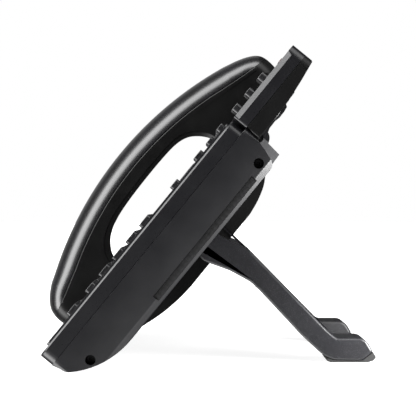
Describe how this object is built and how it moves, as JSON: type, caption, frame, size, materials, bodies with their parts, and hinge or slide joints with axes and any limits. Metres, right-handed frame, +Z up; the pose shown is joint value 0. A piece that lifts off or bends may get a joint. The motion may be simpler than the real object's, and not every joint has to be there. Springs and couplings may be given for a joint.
{
  "type": "desk telephone",
  "caption": "Desk telephone: a leaning wedge body with keys, a lift-off curved handset beside them, a tilting display module and a two-legged folding stand",
  "frame": {"origin": "bottom centre of the overall box, on the desk surface", "axes": "+X to the user's right across the telephone, +Y away from the user, +Z up"},
  "size_m": [0.204, 0.1884, 0.1772],
  "materials": {
    "shell": "fine texture",
    "housing": "fine texture",
    "cover": "satin",
    "plate": "satin",
    "handset": "satin",
    "handset_grip": "fine texture",
    "key": "satin",
    "nav": "satin",
    "strip": "ribbed",
    "lens": "clear",
    "panel": "plain",
    "lamp": "translucent look",
    "bracket": "cast",
    "arm": "satin",
    "steel": "plain",
    "socket": "plain",
    "board": "solder mask",
    "rubber": "matte",
    "stand": "coarse texture"
  },
  "bodies": {
    "base": {"front_shell": "shell", "rear_housing": "housing", "face_plate": "plate", "rear_cover": "cover", "side_strips": "strip", "side_screws": "steel", "main_board": "board", "keypad_mat": "rubber", "loudspeaker": "steel", "network_sockets": "steel", "cord_sockets": "socket", "hinge_bracket": "bracket", "base_feet": "rubber"},
    "display": {"display_bezel": "shell", "display_back": "cover", "display_lens": "lens", "lcd_panel": "panel", "hinge_arm": "arm", "message_lamp": "lamp"},
    "handset": {"handset_back": "handset", "handset_front": "handset_grip", "ear_cap": "handset_grip", "mouth_cap": "handset_grip", "ear_receiver": "steel", "handset_jack": "socket"},
    "hook": {"hook_switch": "arm"},
    "stand": {"stand_frame": "stand", "stand_pads": "rubber"},
    "nav_rocker": {"nav_ring": "nav"},
    "volume_rocker": {"volume_key": "key"},
    "line_key_1_press": {"line_key_1": "key"},
    "line_key_2_press": {"line_key_2": "key"},
    "line_key_3_press": {"line_key_3": "key"},
    "line_key_4_press": {"line_key_4": "key"},
    "line_key_5_press": {"line_key_5": "key"},
    "line_key_6_press": {"line_key_6": "key"},
    "soft_key_1_press": {"soft_key_1": "key"},
    "soft_key_2_press": {"soft_key_2": "key"},
    "soft_key_3_press": {"soft_key_3": "key"},
    "soft_key_4_press": {"soft_key_4": "key"},
    "key_1_press": {"key_1": "key"},
    "key_2_press": {"key_2": "key"},
    "key_3_press": {"key_3": "key"},
    "key_4_press": {"key_4": "key"},
    "key_5_press": {"key_5": "key"},
    "key_6_press": {"key_6": "key"},
    "key_7_press": {"key_7": "key"},
    "key_8_press": {"key_8": "key"},
    "key_9_press": {"key_9": "key"},
    "key_star_press": {"key_star": "key"},
    "key_0_press": {"key_0": "key"},
    "key_hash_press": {"key_hash": "key"},
    "headset_key_press": {"headset_key": "key"},
    "message_key_press": {"message_key": "key"},
    "mute_key_press": {"mute_key": "key"},
    "speaker_key_press": {"speaker_key": "key"},
    "hold_key_press": {"hold_key": "key"},
    "transfer_key_press": {"transfer_key": "key"},
    "redial_key_press": {"redial_key": "key"},
    "ok_key_press": {"ok_key": "key"}
  },
  "joints": [
    {"name": "display_tilt", "type": "hinge", "parent": "base", "child": "display", "pos_m": [0, 0.03151, 0.11984], "axis": [1, 0, 0], "range_deg": [-30, 0]},
    {"name": "handset_lift", "type": "slide", "parent": "base", "child": "handset", "axis": [0, -0.7738, 0.6334], "range_m": [0, 0.09]},
    {"name": "hook_travel", "type": "slide", "parent": "base", "child": "hook", "axis": [0, -0.7738, 0.6334], "range_m": [0, 0.004]},
    {"name": "stand_fold", "type": "hinge", "parent": "base", "child": "stand", "pos_m": [0, 0.00641, 0.06091], "axis": [1, 0, 0], "range_deg": [-85, 0]},
    {"name": "nav_rock", "type": "hinge", "parent": "base", "child": "nav_rocker", "pos_m": [0.024, -0.00169, 0.09791], "axis": [1, 0, 0], "range_deg": [-2.4, 2.4], "stiffness_Nm_per_rad": 1.2},
    {"name": "volume_rock", "type": "hinge", "parent": "base", "child": "volume_rocker", "pos_m": [0.024, -0.06123, 0.02516], "axis": [0, 0.6334, 0.7738], "range_deg": [-2, 2], "stiffness_Nm_per_rad": 1.2},
    {"name": "line_key_1_travel", "type": "slide", "parent": "display", "child": "line_key_1_press", "axis": [0, 0.7738, -0.6334], "range_m": [0, 0.0016], "stiffness_N_per_m": 400, "springref_m": -0.0005},
    {"name": "line_key_2_travel", "type": "slide", "parent": "display", "child": "line_key_2_press", "axis": [0, 0.7738, -0.6334], "range_m": [0, 0.0016], "stiffness_N_per_m": 400, "springref_m": -0.0005},
    {"name": "line_key_3_travel", "type": "slide", "parent": "display", "child": "line_key_3_press", "axis": [0, 0.7738, -0.6334], "range_m": [0, 0.0016], "stiffness_N_per_m": 400, "springref_m": -0.0005},
    {"name": "line_key_4_travel", "type": "slide", "parent": "display", "child": "line_key_4_press", "axis": [0, 0.7738, -0.6334], "range_m": [0, 0.0016], "stiffness_N_per_m": 400, "springref_m": -0.0005},
    {"name": "line_key_5_travel", "type": "slide", "parent": "display", "child": "line_key_5_press", "axis": [0, 0.7738, -0.6334], "range_m": [0, 0.0016], "stiffness_N_per_m": 400, "springref_m": -0.0005},
    {"name": "line_key_6_travel", "type": "slide", "parent": "display", "child": "line_key_6_press", "axis": [0, 0.7738, -0.6334], "range_m": [0, 0.0016], "stiffness_N_per_m": 400, "springref_m": -0.0005},
    {"name": "soft_key_1_travel", "type": "slide", "parent": "base", "child": "soft_key_1_press", "axis": [0, 0.7738, -0.6334], "range_m": [0, 0.0016], "stiffness_N_per_m": 400, "springref_m": -0.0005},
    {"name": "soft_key_2_travel", "type": "slide", "parent": "base", "child": "soft_key_2_press", "axis": [0, 0.7738, -0.6334], "range_m": [0, 0.0016], "stiffness_N_per_m": 400, "springref_m": -0.0005},
    {"name": "soft_key_3_travel", "type": "slide", "parent": "base", "child": "soft_key_3_press", "axis": [0, 0.7738, -0.6334], "range_m": [0, 0.0016], "stiffness_N_per_m": 400, "springref_m": -0.0005},
    {"name": "soft_key_4_travel", "type": "slide", "parent": "base", "child": "soft_key_4_press", "axis": [0, 0.7738, -0.6334], "range_m": [0, 0.0016], "stiffness_N_per_m": 400, "springref_m": -0.0005},
    {"name": "key_1_travel", "type": "slide", "parent": "base", "child": "key_1_press", "axis": [0, 0.7738, -0.6334], "range_m": [0, 0.0016], "stiffness_N_per_m": 400, "springref_m": -0.0005},
    {"name": "key_2_travel", "type": "slide", "parent": "base", "child": "key_2_press", "axis": [0, 0.7738, -0.6334], "range_m": [0, 0.0016], "stiffness_N_per_m": 400, "springref_m": -0.0005},
    {"name": "key_3_travel", "type": "slide", "parent": "base", "child": "key_3_press", "axis": [0, 0.7738, -0.6334], "range_m": [0, 0.0016], "stiffness_N_per_m": 400, "springref_m": -0.0005},
    {"name": "key_4_travel", "type": "slide", "parent": "base", "child": "key_4_press", "axis": [0, 0.7738, -0.6334], "range_m": [0, 0.0016], "stiffness_N_per_m": 400, "springref_m": -0.0005},
    {"name": "key_5_travel", "type": "slide", "parent": "base", "child": "key_5_press", "axis": [0, 0.7738, -0.6334], "range_m": [0, 0.0016], "stiffness_N_per_m": 400, "springref_m": -0.0005},
    {"name": "key_6_travel", "type": "slide", "parent": "base", "child": "key_6_press", "axis": [0, 0.7738, -0.6334], "range_m": [0, 0.0016], "stiffness_N_per_m": 400, "springref_m": -0.0005},
    {"name": "key_7_travel", "type": "slide", "parent": "base", "child": "key_7_press", "axis": [0, 0.7738, -0.6334], "range_m": [0, 0.0016], "stiffness_N_per_m": 400, "springref_m": -0.0005},
    {"name": "key_8_travel", "type": "slide", "parent": "base", "child": "key_8_press", "axis": [0, 0.7738, -0.6334], "range_m": [0, 0.0016], "stiffness_N_per_m": 400, "springref_m": -0.0005},
    {"name": "key_9_travel", "type": "slide", "parent": "base", "child": "key_9_press", "axis": [0, 0.7738, -0.6334], "range_m": [0, 0.0016], "stiffness_N_per_m": 400, "springref_m": -0.0005},
    {"name": "key_star_travel", "type": "slide", "parent": "base", "child": "key_star_press", "axis": [0, 0.7738, -0.6334], "range_m": [0, 0.0016], "stiffness_N_per_m": 400, "springref_m": -0.0005},
    {"name": "key_0_travel", "type": "slide", "parent": "base", "child": "key_0_press", "axis": [0, 0.7738, -0.6334], "range_m": [0, 0.0016], "stiffness_N_per_m": 400, "springref_m": -0.0005},
    {"name": "key_hash_travel", "type": "slide", "parent": "base", "child": "key_hash_press", "axis": [0, 0.7738, -0.6334], "range_m": [0, 0.0016], "stiffness_N_per_m": 400, "springref_m": -0.0005},
    {"name": "headset_key_travel", "type": "slide", "parent": "base", "child": "headset_key_press", "axis": [0, 0.7738, -0.6334], "range_m": [0, 0.0016], "stiffness_N_per_m": 400, "springref_m": -0.0005},
    {"name": "message_key_travel", "type": "slide", "parent": "base", "child": "message_key_press", "axis": [0, 0.7738, -0.6334], "range_m": [0, 0.0016], "stiffness_N_per_m": 400, "springref_m": -0.0005},
    {"name": "mute_key_travel", "type": "slide", "parent": "base", "child": "mute_key_press", "axis": [0, 0.7738, -0.6334], "range_m": [0, 0.0016], "stiffness_N_per_m": 400, "springref_m": -0.0005},
    {"name": "speaker_key_travel", "type": "slide", "parent": "base", "child": "speaker_key_press", "axis": [0, 0.7738, -0.6334], "range_m": [0, 0.0016], "stiffness_N_per_m": 400, "springref_m": -0.0005},
    {"name": "hold_key_travel", "type": "slide", "parent": "base", "child": "hold_key_press", "axis": [0, 0.7738, -0.6334], "range_m": [0, 0.0016], "stiffness_N_per_m": 400, "springref_m": -0.0005},
    {"name": "transfer_key_travel", "type": "slide", "parent": "base", "child": "transfer_key_press", "axis": [0, 0.7738, -0.6334], "range_m": [0, 0.0016], "stiffness_N_per_m": 400, "springref_m": -0.0005},
    {"name": "redial_key_travel", "type": "slide", "parent": "base", "child": "redial_key_press", "axis": [0, 0.7738, -0.6334], "range_m": [0, 0.0016], "stiffness_N_per_m": 400, "springref_m": -0.0005},
    {"name": "ok_key_travel", "type": "slide", "parent": "base", "child": "ok_key_press", "axis": [0, 0.7738, -0.6334], "range_m": [0, 0.0016], "stiffness_N_per_m": 400, "springref_m": -0.0005}
  ],
  "couplings": [
    {"joint": "hook_travel", "follows": "handset_lift", "ratio": 0.0444}
  ]
}
